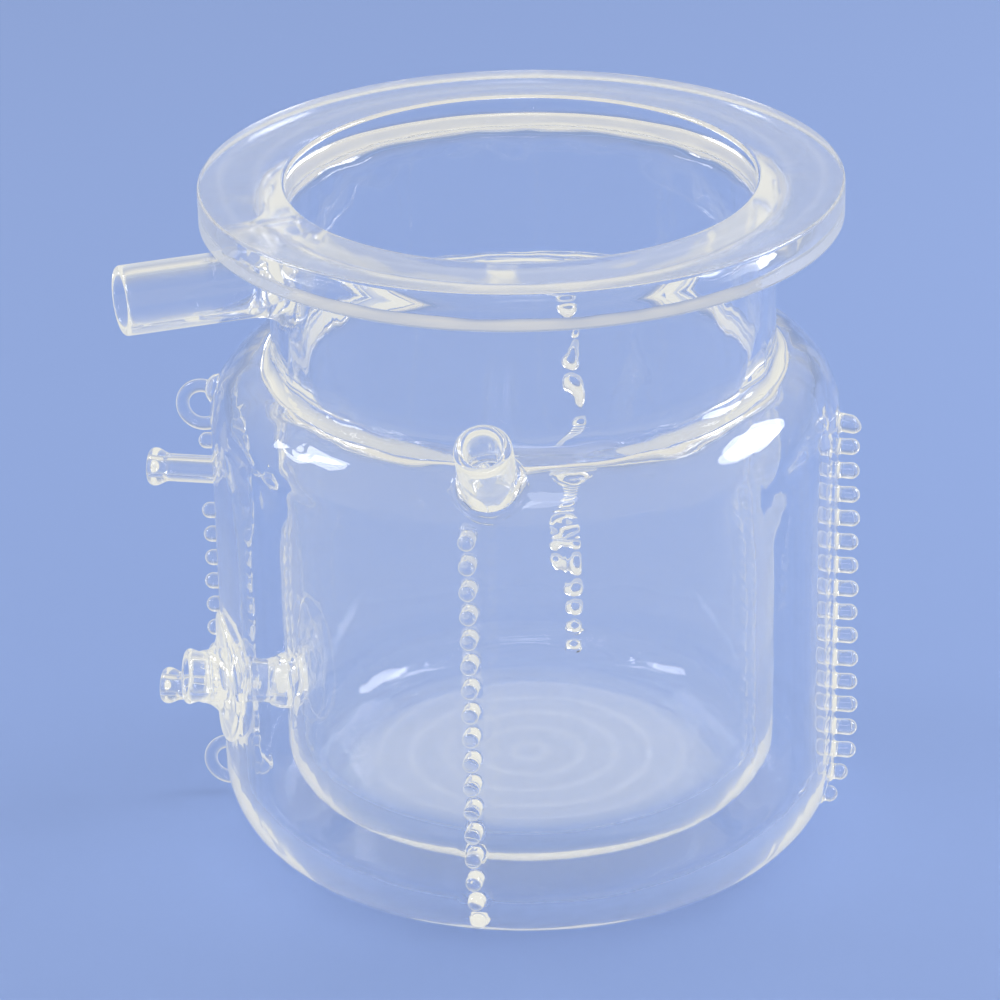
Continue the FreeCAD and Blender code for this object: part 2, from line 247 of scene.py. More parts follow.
class StageLook(bpy.types.PropertyGroup):
    floor: colour("Floor", "Of the floor", "#8299CD")
    backdrop: colour("Backdrop", "Of the studio behind the reactor", "#94A9D6")
    horizon: colour("Room", "Of the studio at the sides and in front, at eye level", "#E4E8F0")
    sky: colour("Sky", "Of the studio overhead", "#F4F3EE")
    key: share("Key lamp", "Power of the window-like lamp at the right, in watts", 16.0, 1000.0)
    fill: share("Fill lamp", "Power of the lamp at the left, in watts", 9.0, 1000.0)
    front: share("Front lamp", "Power of the wide lamp over the camera, in watts", 10.0, 1000.0)


class ReactorSettings(bpy.types.PropertyGroup):
    vessel: PointerProperty(type=VesselSizes, name="Vessel", description="Sizes of the vessel and flange")
    jacket: PointerProperty(type=JacketSizes, name="Jacket", description="Sizes of the jacket")
    side_tube: PointerProperty(type=SideTubeSizes, name="Side tube", description="Sizes of the side tube")
    shoulder_port: PointerProperty(type=ShoulderPortSizes, name="Shoulder port", description="Its sizes")
    sampling_port: PointerProperty(type=SamplingPortSizes, name="Sampling port", description="Its sizes")
    nipples: PointerProperty(type=NippleSizes, name="Nipples", description="Sizes of the hose nipples")
    eyelets: PointerProperty(type=EyeletSizes, name="Eyelets", description="Sizes of the eyelets")
    pegs: PointerProperty(type=PegSizes, name="Pegs", description="Sizes of the pegs")
    quartz: PointerProperty(type=QuartzFinish, name="Quartz", description="Finish of the quartz")
    stage: PointerProperty(type=StageLook, name="Stage", description="Floor and light")


class Pen:
    """Draws half an outline in the XZ plane, to be turned round the Z axis."""

    def __init__(self, bm, r, z):
        self.bm = bm
        self.tip = bm.verts.new((r, 0, z))

    def line(self, r, z, every=0.0):
        """A straight run, in steps of about that length."""
        start, end = self.tip.co.copy(), Vector((r, 0, z))
        steps = max(1, round((end - start).length / every)) if every else 1
        for _ in range(steps):
            self.tip = bmesh.ops.extrude_vert_indiv(self.bm, verts=[self.tip])["verts"][0]
            bmesh.ops.translate(self.bm, verts=[self.tip], vec=(end - start) / steps)
        return self

    def arc(self, r, z, degrees, steps, stretch=1.0):
        """An arc about a centre, anticlockwise where degrees are positive, stretched upwards from where it starts."""
        before, start = set(self.bm.verts), self.tip.co.z
        made = bmesh.ops.spin(
            self.bm, geom=[self.tip], cent=(r, 0, z), axis=(0, -1, 0), angle=math.radians(degrees), steps=steps
        )
        self.tip = next(g for g in made["geom_last"] if isinstance(g, bmesh.types.BMVert))
        new = [v for v in self.bm.verts if v not in before]
        bmesh.ops.scale(self.bm, verts=new, vec=(1, 1, stretch), space=Matrix.Translation((0, 0, -start)))
        return self

    def swell(self, r, z, steps=8):
        """A soft S-shaped run to another radius."""
        start = self.tip.co.copy()
        for i in range(1, steps + 1):
            share = 0.5 - 0.5 * math.cos(math.pi * i / steps)
            self.line(start.x + (r - start.x) * share, start.z + (z - start.z) * i / steps)
        return self

    def flare(self, r, z, steps=6):
        """A melted collar that sweeps in from its foot to a tube's side."""
        foot = self.tip.co.copy()
        leg = foot.x - r
        return self.arc(foot.x, foot.z + leg, -90, steps, (z - foot.z) / leg)


def turned(bm, segments):
    """Turns the outline in bm round the Z axis to a closed solid."""
    bmesh.ops.spin(
        bm,
        geom=bm.verts[:] + bm.edges[:],
        cent=(0, 0, 0),
        axis=(0, 0, 1),
        angle=math.tau,
        steps=segments,
        use_merge=True,
    )
    bmesh.ops.remove_doubles(bm, verts=bm.verts[:], dist=1e-7)
    bmesh.ops.recalc_face_normals(bm, faces=bm.faces[:])
    return bm


def sag(radius, reach):
    """How far a round wall falls away from its tangent plane."""
    return radius - math.sqrt(max(radius * radius - reach * reach, 0.0)) if radius else 0.0


def seated(bm, fade, side_radius, up_radius=0.0, tilt=0.0):
    """Bends the foot of a standing piece to its curved wall, fading out along the piece."""
    for v in bm.verts:
        t = min(max(1 - v.co.z / fade, 0.0), 1.0)
        v.co.z += t * t * (3 - 2 * t) * (
            v.co.y * math.tan(tilt) - sag(side_radius, v.co.x) - sag(up_radius, v.co.y)
        )
    return bm


def stand(bm, angle, radius, height, tilt=0.0):
    """Stands a piece on a wall point, its own Z pointing out and tilted up, its own Y upwards."""
    out = Vector((math.sin(angle), -math.cos(angle), 0))
    axis = out * math.cos(tilt) + Vector((0, 0, math.sin(tilt)))
    place = Matrix.Translation(out * radius + Vector((0, 0, height)))
    bmesh.ops.transform(bm, matrix=place @ axis.to_track_quat("Z", "Y").to_matrix().to_4x4(), verts=bm.verts[:])
    return bm


def as_object(bm, name):
    mesh = bpy.data.meshes.new(name)
    bm.to_mesh(mesh)
    bm.free()
    piece = bpy.data.objects.new(name, mesh)
    bpy.context.scene.collection.objects.link(piece)
    return piece


def melt(bm, how="UNION"):
    """Fuses a solid into the body, or bores it out of it, so that one skin of glass is left."""
    body = bpy.data.objects[BODY]
    piece = as_object(bm, "melted")
    joint = body.modifiers.new("melt", "BOOLEAN")
    joint.operation, joint.solver, joint.object = how, "MANIFOLD", piece
    mesh = bpy.data.meshes.new_from_object(body.evaluated_get(bpy.context.evaluated_depsgraph_get()))
    if len(mesh.vertices) == len(body.data.vertices):
        raise RuntimeError("a piece did not melt into the body")
    body.modifiers.clear()
    old, body.data = body.data, mesh
    bpy.data.meshes.remove(old)
    bpy.data.meshes.remove(piece.data)
    mesh.name = BODY


def bore(radius, lip, top, bottom, segments=40):
    """A cutter for a bore whose mouth opens to a round lip."""
    bm = bmesh.new()
    pen = Pen(bm, 0, bottom).line(radius, bottom).line(radius, top - lip, RUN)
    pen.arc(radius + lip, top - lip, -90, 5).line(radius + lip, top + 1 * MM).line(0, top + 1 * MM)
    return turned(bm, segments)


def tube(depth, foot, foot_height, radius, lip, top, segments=48):
    """The outside of a tube, filled, with a melted collar at its root and a round lip."""
    bm = bmesh.new()
    pen = Pen(bm, 0, -depth).line(foot, -depth).line(foot, 0).flare(radius, foot_height, 8)
    pen.line(radius, top - lip, RUN).arc(radius - lip, top - lip, 90, 5).line(0, top)
    return turned(bm, segments)


class BodyOperator(bpy.types.Operator):
    """Turns the vessel, its flange and the jacket as one body of glass round its water space"""

    bl_idname = "reactor.turn_body"
    bl_label = "Turn the body"

    def execute(self, context):
        v, j = context.scene.reactor.vessel, context.scene.reactor.jacket
        inner, lid = v.radius - v.wall, v.height - v.flange_thickness
        corner, turn = v.corner - v.wall + v.fill, v.under + v.corner
        crown = j.radius - v.radius
        bm = bmesh.new()
        pen = Pen(bm, 0, v.under + v.wall).line(inner - corner, v.under + v.wall, RUN)
        pen.arc(inner - corner, turn + v.fill, 90, 9)
        pen.tip.co.x = inner
        pen.line(inner, v.height - v.mouth, RUN).arc(inner + v.mouth, v.height - v.mouth, -90, 4)
        pen.line(v.flange_radius - v.flange_edge, v.height, RUN)
        pen.arc(v.flange_radius - v.flange_edge, v.height - v.flange_edge, -90, 4)
        pen.line(v.flange_radius, lid + v.flange_edge, 3.3 * MM)
        pen.arc(v.flange_radius - v.flange_edge, lid + v.flange_edge, -90, 4)
        pen.line(v.radius + v.flange_weld, lid, RUN)
        pen.arc(v.radius + v.flange_weld, lid - v.flange_weld, 90, 6)
        # the neck weld touches the shoulder's arc where both have one tangent
        rise = math.sqrt((crown + j.weld) ** 2 - j.weld**2)
        meet = math.degrees(math.atan2(rise, j.weld))
        pen.line(v.radius, j.shoulder + rise, 3 * MM).arc(v.radius + j.weld, j.shoulder + rise, meet, 4)
        pen.arc(v.radius, j.shoulder, -meet, 14)
        pen.line(j.radius, j.corner, 3.8 * MM).arc(j.radius - j.corner, j.corner, -90, 16)
        pen.tip.co.z = 0
        pen.line(0, 0, BASE_RUN)
        turned(bm, BODY_STEPS)

        bore_r, under, crown = j.radius - j.wall, v.under, crown - j.wall
        rise = math.sqrt((crown - j.inner_weld) ** 2 - j.inner_weld**2)
        meet = math.degrees(math.atan2(rise, j.inner_weld))
        water = bmesh.new()
        hollow = bore_r - (j.corner - j.wall + j.fill)
        pen = Pen(water, 0, j.wall).line(hollow, j.wall, BASE_RUN)
        pen.arc(hollow, j.corner + j.fill, 90, 11).line(bore_r, j.shoulder, WATER_RUN)
        pen.arc(v.radius, j.shoulder, meet, 9).arc(v.radius + j.inner_weld, j.shoulder + rise, 180 - meet, 4)
        pen.line(v.radius, turn, WATER_RUN).arc(v.radius - v.corner, turn, -90, 10).line(0, under, BASE_RUN)
        turned(water, BODY_STEPS)
        as_object(bm, BODY)
        melt(water, "DIFFERENCE")
        return {"FINISHED"}


class SideTubeOperator(bpy.types.Operator):
    """Melts the side tube to the neck and bores it through"""

    bl_idname = "reactor.melt_side_tube"
    bl_label = "Melt the side tube"

    def execute(self, context):
        s, v = context.scene.reactor.side_tube, context.scene.reactor.vessel
        lip = (s.radius - s.bore) / 2
        piece = tube(2.5 * MM, s.foot, s.foot_height, s.radius, lip, s.reach)
        melt(stand(seated(piece, s.foot_height, v.radius), s.angle, v.radius, s.height))
        melt(stand(bore(s.bore, lip, s.reach, -v.wall - PAST), s.angle, v.radius, s.height), "DIFFERENCE")
        return {"FINISHED"}


class ShoulderPortOperator(bpy.types.Operator):
    """Melts the port to the shoulder, square to its curve, and bores it into the water space"""

    bl_idname = "reactor.melt_shoulder_port"
    bl_label = "Melt the shoulder port"

    def execute(self, context):
        s, v, j = (getattr(context.scene.reactor, n) for n in ("shoulder_port", "vessel", "jacket"))
        crown = j.radius - v.radius
        radius = v.radius + crown * math.cos(s.tilt)
        height = j.shoulder + crown * math.sin(s.tilt)
        lip = (s.radius - s.bore) / 2
        piece = tube(2 * MM, s.foot, s.foot_height, s.radius, lip, s.reach)
        seated(piece, s.foot_height, radius / math.cos(s.tilt), crown)
        melt(stand(piece, s.angle, radius, height, s.tilt))
        melt(stand(bore(s.bore, lip, s.reach, -j.wall - PAST_JACKET), s.angle, radius, height, s.tilt), "DIFFERENCE")
        return {"FINISHED"}


class SamplingPortOperator(bpy.types.Operator):
    """Melts the sampling port with its pad and inner tube, and bores it through both walls"""

    bl_idname = "reactor.melt_sampling_port"
    bl_label = "Melt the sampling port"

    def execute(self, context):
        s, v, j = (getattr(context.scene.reactor, n) for n in ("sampling_port", "vessel", "jacket"))
        lip, lean = (s.mouth - s.bore) / 2, math.cos(s.tilt)
        near = -j.wall / lean
        far = near - (j.radius - j.wall - v.radius) / lean
        inner = bmesh.new()
        bulb = s.inner + s.bulb
        pen = Pen(inner, 0, far - 3 * MM).line(bulb, far - 3 * MM).line(bulb, far + 1 * MM, FINE_RUN)
        pen.swell(s.inner, far + 7 * MM).line(s.inner, near - 4 * MM, FINE_RUN)
        pen.arc(s.inner + 2.2 * MM, near - 4 * MM, -90, 6, 4 / 2.2).line(s.inner + 2.2 * MM, near + 3 * MM)
        pen.line(0, near + 3 * MM)
        melt(stand(turned(inner, 48), s.angle, j.radius, s.height, s.tilt))

        outer = bmesh.new()
        pen = Pen(outer, 0, -3 * MM).line(s.pad, -3 * MM, 3 * MM).line(s.pad, 0)
        pen.arc(s.pad - 2 * MM, 0, 90, 5, s.pad_thickness / (2 * MM)).line(s.flare, s.pad_thickness, FINE_RUN)
        pen.flare(s.root, s.flare_height, 8).line(s.neck, s.reach / 2 + 2 * MM, FINE_RUN)
        pen.line(s.mouth, s.reach - lip, FINE_RUN).arc(s.mouth - lip, s.reach - lip, 90, 5).line(0, s.reach)
        seated(turned(outer, 56), s.flare_height, j.radius, 0.0, s.tilt)
        melt(stand(outer, s.angle, j.radius, s.height, s.tilt))
        cutter = bore(s.bore, lip, s.reach, far - v.wall / lean - PAST)
        melt(stand(cutter, s.angle, j.radius, s.height, s.tilt), "DIFFERENCE")
        return {"FINISHED"}


class NipplesOperator(bpy.types.Operator):
    """Melts the two hose nipples to the jacket and bores them into the water space"""

    bl_idname = "reactor.melt_nipples"
    bl_label = "Melt the nipples"

    def execute(self, context):
        s, j = context.scene.reactor.nipples, context.scene.reactor.jacket
        for height, reach, bead in (
            (s.upper_height, s.upper_reach, s.upper_bead),
            (s.lower_height, s.lower_reach, s.lower_bead),
        ):
            bm = bmesh.new()
            pen = Pen(bm, 0, -3 * MM).line(s.foot, -3 * MM).line(s.foot, 0).flare(s.radius, 3 * MM)
            pen.line(s.radius, reach - s.bead_width - 1.5 * MM, RUN)
            pen.swell(bead, reach - s.bead_width / 2 + 0.6 * MM)
            pen.arc(bead - 1.7 * MM, pen.tip.co.z, 90, 6, (reach - pen.tip.co.z) / (1.7 * MM)).line(0, reach)
            melt(stand(seated(turned(bm, 40), 3 * MM, j.radius), s.angle, j.radius, height))
            cutter = bore(s.bore, 0.8 * MM, reach, -j.wall - PAST_JACKET, 32)
            melt(stand(cutter, s.angle, j.radius, height), "DIFFERENCE")
        return {"FINISHED"}


class EyeletsOperator(bpy.types.Operator):
    """Melts the two rings of bent rod to the left side"""

    bl_idname = "reactor.melt_eyelets"
    bl_label = "Melt the eyelets"

    def execute(self, context):
        s, j = context.scene.reactor.eyelets, context.scene.reactor.jacket
        off = j.corner + s.stand_off
        places = (
            (j.radius + s.stand_off, s.upper_height),
            (j.radius - j.corner + off * math.cos(s.lower_slope), j.corner - off * math.sin(s.lower_slope)),
        )
        for radius, height in places:
            bm = bmesh.new()
            bmesh.ops.create_circle(bm, segments=20, radius=s.rod)
            bmesh.ops.translate(bm, verts=bm.verts[:], vec=(s.bend, 0, 0))
            bmesh.ops.spin(
                bm,
                geom=bm.verts[:] + bm.edges[:],
                cent=(0, 0, 0),
                axis=(0, 1, 0),
                angle=math.tau,
                steps=48,
                use_merge=True,
            )
            bmesh.ops.recalc_face_normals(bm, faces=bm.faces[:])
            out = Vector((math.sin(s.angle), -math.cos(s.angle), 0))
            upright = Matrix.Rotation(math.atan2(-out.y, -out.x), 4, "Z")
            place = Matrix.Translation(out * radius + Vector((0, 0, height)))
            bmesh.ops.transform(bm, matrix=place @ upright, verts=bm.verts[:])
            melt(bm)
        drop = bmesh.new()
        bmesh.ops.create_uvsphere(drop, u_segments=32, v_segments=18, radius=s.blob)
        bmesh.ops.scale(drop, verts=drop.verts[:], vec=(1.0, 1.1, 1.0))
        melt(stand(drop, s.angle, j.radius - 0.75 * MM, j.shoulder + 1 * MM))
        return {"FINISHED"}


class PegsOperator(bpy.types.Operator):
    """Melts the rows of hand-cut pegs to the jacket"""

    bl_idname = "reactor.melt_pegs"
    bl_label = "Melt the pegs"

    def execute(self, context):
        s, j = context.scene.reactor.pegs, context.scene.reactor.jacket
        n, e = context.scene.reactor.nipples, context.scene.reactor.eyelets
        full = [s.top - s.pitch * i for i in range(s.count)]
        run = [s.left_top - s.left_pitch * i for i in range(s.left_count)]
        ring = e.bend + e.rod
        lower_ring = j.corner - (j.corner + e.stand_off) * math.sin(e.lower_slope)
        upper = (n.upper_height + n.foot + e.upper_height - ring) / 2
        lower = (n.lower_height - n.foot + lower_ring + ring) / 2
        left = [upper] + run + [lower]
        for row, (angle, heights) in enumerate(((0, full), (90, full), (180, full), (-90, left))):
            bm = bmesh.new()
            for i, height in enumerate(heights):
                reach = s.reach if height >= j.corner else s.corner_reach
                # each peg was cut by hand, so each has its own length
                reach -= s.unevenness * (0.5 + 0.5 * noise.noise(Vector((row * 7.3, i * 1.7, 0.5))))
                rod = bmesh.new()
                pen = Pen(rod, 0, -2.5 * MM).line(s.radius * 1.28, -2.5 * MM).line(s.radius * 1.28, -0.1 * MM)
                pen.flare(s.radius * 0.94, 1.5 * MM, 3).line(s.radius, reach - s.radius, 2.5 * MM)
                pen.arc(0, reach - s.radius, 90, 5)
                pen.tip.co.x = 0
                turned(rod, 18)
                if angle == 90 and i == 0:
                    # the topmost peg at the right is thicker, and its soft tip has drooped
                    for w in rod.verts:
                        t = max(w.co.z / reach, 0)
                        w.co.x *= 1.16
                        w.co.y = w.co.y * (1.22 - 0.5 * t**3) - 1.5 * MM * t**2
                wall = j.radius - sag(j.corner, max(j.corner - height, 0))
                stand(rod, math.radians(angle), wall, height)
                mesh = bpy.data.meshes.new("rod")
                rod.to_mesh(mesh)
                rod.free()
                bm.from_mesh(mesh)
                bpy.data.meshes.remove(mesh)
            melt(bm)
        return {"FINISHED"}


def add(tree, kind, settings=None, inputs=None):
    """Adds a node, sets its properties, and sets its inputs to values or links them from other sockets."""
    node = tree.nodes.new(kind)
    for key, value in (settings or {}).items():
        setattr(node, key, value)
    for key, value in (inputs or {}).items():
        if isinstance(value, bpy.types.NodeSocket):
            tree.links.new(value, node.inputs[key])
        else:
            node.inputs[key].default_value = value
    return node


def fused_quartz(finish, vessel, jacket):
    """Clear fused quartz: burner-blown tube, so its skin is fire-polished and bright, with faint upright draw lines."""
    mat = bpy.data.materials.new("clear_fused_quartz")
    mat.use_nodes = True
    tree = mat.node_tree
    tree.nodes.clear()
    place = add(tree, "ShaderNodeTexCoord").outputs["Object"]
    height = add(tree, "ShaderNodeSeparateXYZ", inputs={0: place}).outputs["Z"]
    level = add(tree, "ShaderNodeVectorMath", {"operation": "MULTIPLY"}, {0: place, 1: (1, 1, 0)})
    radius = add(tree, "ShaderNodeVectorMath", {"operation": "LENGTH"}, {0: level.outputs["Vector"]})
    # the flange's face was lapped and the vessel's floor spun flat, so both are a little hazy and ringed
    face = add(tree, "ShaderNodeMath", {"operation": "GREATER_THAN"}, {0: height, 1: vessel.height - 0.2 * MM})
    flat = add(
        tree, "ShaderNodeMath", {"operation": "COMPARE"}, {0: height, 1: vessel.under + vessel.wall, 2: 0.5 * MM}
    )
    inside = add(
        tree,
        "ShaderNodeMapRange",
        inputs={
            "Value": radius.outputs["Value"],
            "From Min": vessel.radius - vessel.corner - 14 * MM,
            "From Max": vessel.radius - vessel.corner + 1 * MM,
            "To Min": 1.0,
            "To Max": 0.0,
        },
    )
    flat = add(tree, "ShaderNodeMath", {"operation": "MULTIPLY"}, {0: flat.outputs[0], 1: inside.outputs[0]})
    lapped = add(tree, "ShaderNodeMath", {"operation": "MAXIMUM"}, {0: face.outputs[0], 1: flat.outputs[0]})
    # draw lines run up the tubes, about 6 mm apart
    along = add(tree, "ShaderNodeMapping", inputs={"Vector": place, "Scale": (1, 1, 0.03)})
    lines = add(
        tree,
        "ShaderNodeTexNoise",
        inputs={"Vector": along.outputs["Vector"], "Scale": LINES, "Detail": 1.5, "Roughness": 0.45},
    )
    # the burner's waves are about 15 mm long
    waves = add(
        tree, "ShaderNodeTexNoise", inputs={"Vector": place, "Scale": WAVES, "Detail": 1.0, "Roughness": 0.4}
    )
    # the rings are narrow and about 11 mm apart
    rings = add(
        tree,
        "ShaderNodeTexWave",
        {"wave_type": "RINGS", "rings_direction": "Z"},
        {"Vector": place, "Scale": RING_REPEAT / RING_PITCH, "Distortion": 0.9, "Detail": 1.0, "Detail Scale": 0.5},
    )
    rings = add(tree, "ShaderNodeMath", {"operation": "POWER"}, {0: rings.outputs["Fac"], 1: 6.0})
    # the depths of both patterns add up in metres
    deep = add(
        tree, "ShaderNodeMath", {"operation": "MULTIPLY"}, {0: lines.outputs["Fac"], 1: finish.draw}
    )
    deep = add(
        tree,
        "ShaderNodeMath",
        {"operation": "MULTIPLY_ADD"},
        {0: waves.outputs["Fac"], 1: finish.waves, 2: deep.outputs[0]},
    )
    ground = add(tree, "ShaderNodeMath", {"operation": "MULTIPLY"}, {0: rings.outputs[0], 1: finish.rings})
    deep = add(
        tree,
        "ShaderNodeMix",
        inputs={0: lapped.outputs[0], 2: deep.outputs[0], 3: ground.outputs[0]},
    )
    bump = add(tree, "ShaderNodeBump", inputs={"Distance": 1.0, "Height": deep.outputs[0]})
    rough = add(tree, "ShaderNodeMath", {"operation": "MULTIPLY"}, {0: lapped.outputs[0], 1: finish.haze})
    # the rings scatter a little more light than the valleys between them
    ringed = add(
        tree,
        "ShaderNodeMapRange",
        inputs={"Value": rings.outputs[0], "To Min": -0.8 * finish.bloom, "To Max": -1.65 * finish.bloom},
    )
    clearness = add(
        tree,
        "ShaderNodeMath",
        {"operation": "MULTIPLY_ADD"},
        {0: lapped.outputs[0], 1: ringed.outputs["Result"], 2: 1.0},
    )
    glass = add(
        tree,
        "ShaderNodeBsdfPrincipled",
        inputs={
            "Base Color": (*finish.colour, 1),
            "Roughness": rough.outputs[0],
            "IOR": finish.ior,
            "Transmission Weight": clearness.outputs[0],
            "Normal": bump.outputs["Normal"],
        },
    )
    # light that has turned inside the walls more often than a render follows leaves the way it is going
    ray = add(tree, "ShaderNodeLightPath")
    turned_often = add(
        tree, "ShaderNodeMath", {"operation": "GREATER_THAN"}, {0: ray.outputs["Glossy Depth"], 1: 2.5}
    )
    gone_deep = add(tree, "ShaderNodeMath", {"operation": "GREATER_THAN"}, {0: ray.outputs["Ray Depth"], 1: 9.5})
    caught = add(
        tree, "ShaderNodeMath", {"operation": "MAXIMUM"}, {0: turned_often.outputs[0], 1: gone_deep.outputs[0]}
    )
    # there a painted glow takes part of its place: an emission in the caught-light colour, in full on the lower part of
    # the body and on the rods and tubes outside the jacket, fading to a fifth higher up
    low = add(
        tree,
        "ShaderNodeMapRange",
        inputs={"Value": height, "From Min": 50 * MM, "From Max": 130 * MM, "To Min": 1.0, "To Max": 0.2},
    )
    under = add(tree, "ShaderNodeMath", {"operation": "SUBTRACT"}, {0: jacket.corner, 1: height})
    under = add(tree, "ShaderNodeMath", {"operation": "MAXIMUM"}, {0: under.outputs[0], 1: 0.0})
    core = jacket.radius - jacket.corner
    over = add(tree, "ShaderNodeMath", {"operation": "SUBTRACT"}, {0: radius.outputs["Value"], 1: core})
    over = add(tree, "ShaderNodeMath", {"operation": "MAXIMUM"}, {0: over.outputs[0], 1: 0.0})
    off = add(tree, "ShaderNodeCombineXYZ", inputs={"X": under.outputs[0], "Y": over.outputs[0]})
    off = add(tree, "ShaderNodeVectorMath", {"operation": "LENGTH"}, {0: off.outputs["Vector"]})
    outside = add(
        tree,
        "ShaderNodeMapRange",
        inputs={
            "Value": off.outputs["Value"],
            "From Min": jacket.corner + 0.1 * MM,
            "From Max": jacket.corner + 1.5 * MM,
        },
    )
    gathered = add(
        tree, "ShaderNodeMath", {"operation": "MAXIMUM"}, {0: low.outputs["Result"], 1: outside.outputs["Result"]}
    )
    # caught light goes on through the glass, or, where gathered, is replaced by the painted glow
    leaving = add(tree, "ShaderNodeBsdfTransparent", inputs={"Color": (LEAVING_LIGHT, LEAVING_LIGHT, LEAVING_LIGHT, 1)})
    painted_glow = add(tree, "ShaderNodeEmission", inputs={"Color": (*finish.painted_glow, 1), "Strength": 1.0})
    leaving = add(
        tree,
        "ShaderNodeMixShader",
        inputs={0: gathered.outputs[0], 1: leaving.outputs["BSDF"], 2: painted_glow.outputs["Emission"]},
    )
    # painted rim glow: towards the edges of those rods and tubes, as they turn away from the eye, the glass is mixed
    # with the same glowing emission
    edge = add(tree, "ShaderNodeLayerWeight", inputs={"Blend": 0.5})
    edge = add(tree, "ShaderNodeMath", {"operation": "POWER"}, {0: edge.outputs["Facing"], 1: 2.0})
    edge = add(tree, "ShaderNodeMath", {"operation": "MULTIPLY"}, {0: edge.outputs[0], 1: outside.outputs["Result"]})
    edge = add(tree, "ShaderNodeMath", {"operation": "MULTIPLY"}, {0: edge.outputs[0], 1: finish.edges})
    glass = add(
        tree,
        "ShaderNodeMixShader",
        inputs={0: edge.outputs[0], 1: glass.outputs["BSDF"], 2: painted_glow.outputs["Emission"]},
    )
    mix = add(
        tree,
        "ShaderNodeMixShader",
        inputs={0: caught.outputs[0], 1: glass.outputs["Shader"], 2: leaving.outputs["Shader"]},
    )
    # light passes through to the floor, so the shadow stays as pale as a real one
    clear = add(tree, "ShaderNodeBsdfTransparent", inputs={"Color": (LAMP_LIGHT, LAMP_LIGHT, LAMP_LIGHT, 1)})
    mix = add(
        tree,
        "ShaderNodeMixShader",
        inputs={0: ray.outputs["Is Shadow Ray"], 1: mix.outputs["Shader"], 2: clear.outputs["BSDF"]},
    )
    add(tree, "ShaderNodeOutputMaterial", inputs={"Surface": mix.outputs["Shader"]})
    return mat


class AnnealOperator(bpy.types.Operator):
    """Finishes the melted body: uneven walls, smooth skin, quartz, and its place on the frame"""

    bl_idname = "reactor.anneal"
    bl_label = "Anneal the body"

    def execute(self, context):
        r = context.scene.reactor
        v, j, q = r.vessel, r.jacket, r.quartz
        body = bpy.data.objects[BODY]
        bm = bmesh.new()
        bm.from_mesh(body.data)
        bmesh.ops.remove_doubles(bm, verts=bm.verts[:], dist=2e-6)
        bmesh.ops.dissolve_degenerate(bm, edges=bm.edges[:], dist=2e-6)
        bm.normal_update()
        # each weld's radius and height, how far round it the walls wander, and how much
        welds = (
            (v.radius, j.shoulder + (j.radius - v.radius), 17 * MM, 1.25),
            (v.radius, v.height - v.flange_thickness - v.flange_weld, 9 * MM, 1.0),
            (j.radius, j.shoulder, 12 * MM, 1.0),
            (j.radius - 9 * MM, 9 * MM, 16 * MM, 0.12),
            (v.radius - 5 * MM, v.under + 6 * MM, 12 * MM, 0.12),
        )
        for w in bm.verts:
            radius, z = math.hypot(w.co.x, w.co.y), w.co.z
            if z > v.height - TRUE_TOP or z < TRUE_BASE or radius > j.radius + TRUE_SIDE:
                continue
            near = sum(k * math.exp(-((radius - wr) ** 2 + (z - wz) ** 2) / ws**2) for wr, wz, ws, k in welds)
            where = w.co / PATCH + w.normal * FACES_APART
            drift = noise.noise(where) + 0.6 * noise.noise(where * 2.1)
            w.co += w.normal * q.unevenness * (EVERYWHERE + near) * drift
        for face in bm.faces:
            face.smooth = True
        bm.to_mesh(body.data)
        bm.free()
        body.data.materials.clear()
        body.data.materials.append(fused_quartz(q, v, j))
        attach(body, "root")
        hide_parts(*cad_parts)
        return {"FINISHED"}


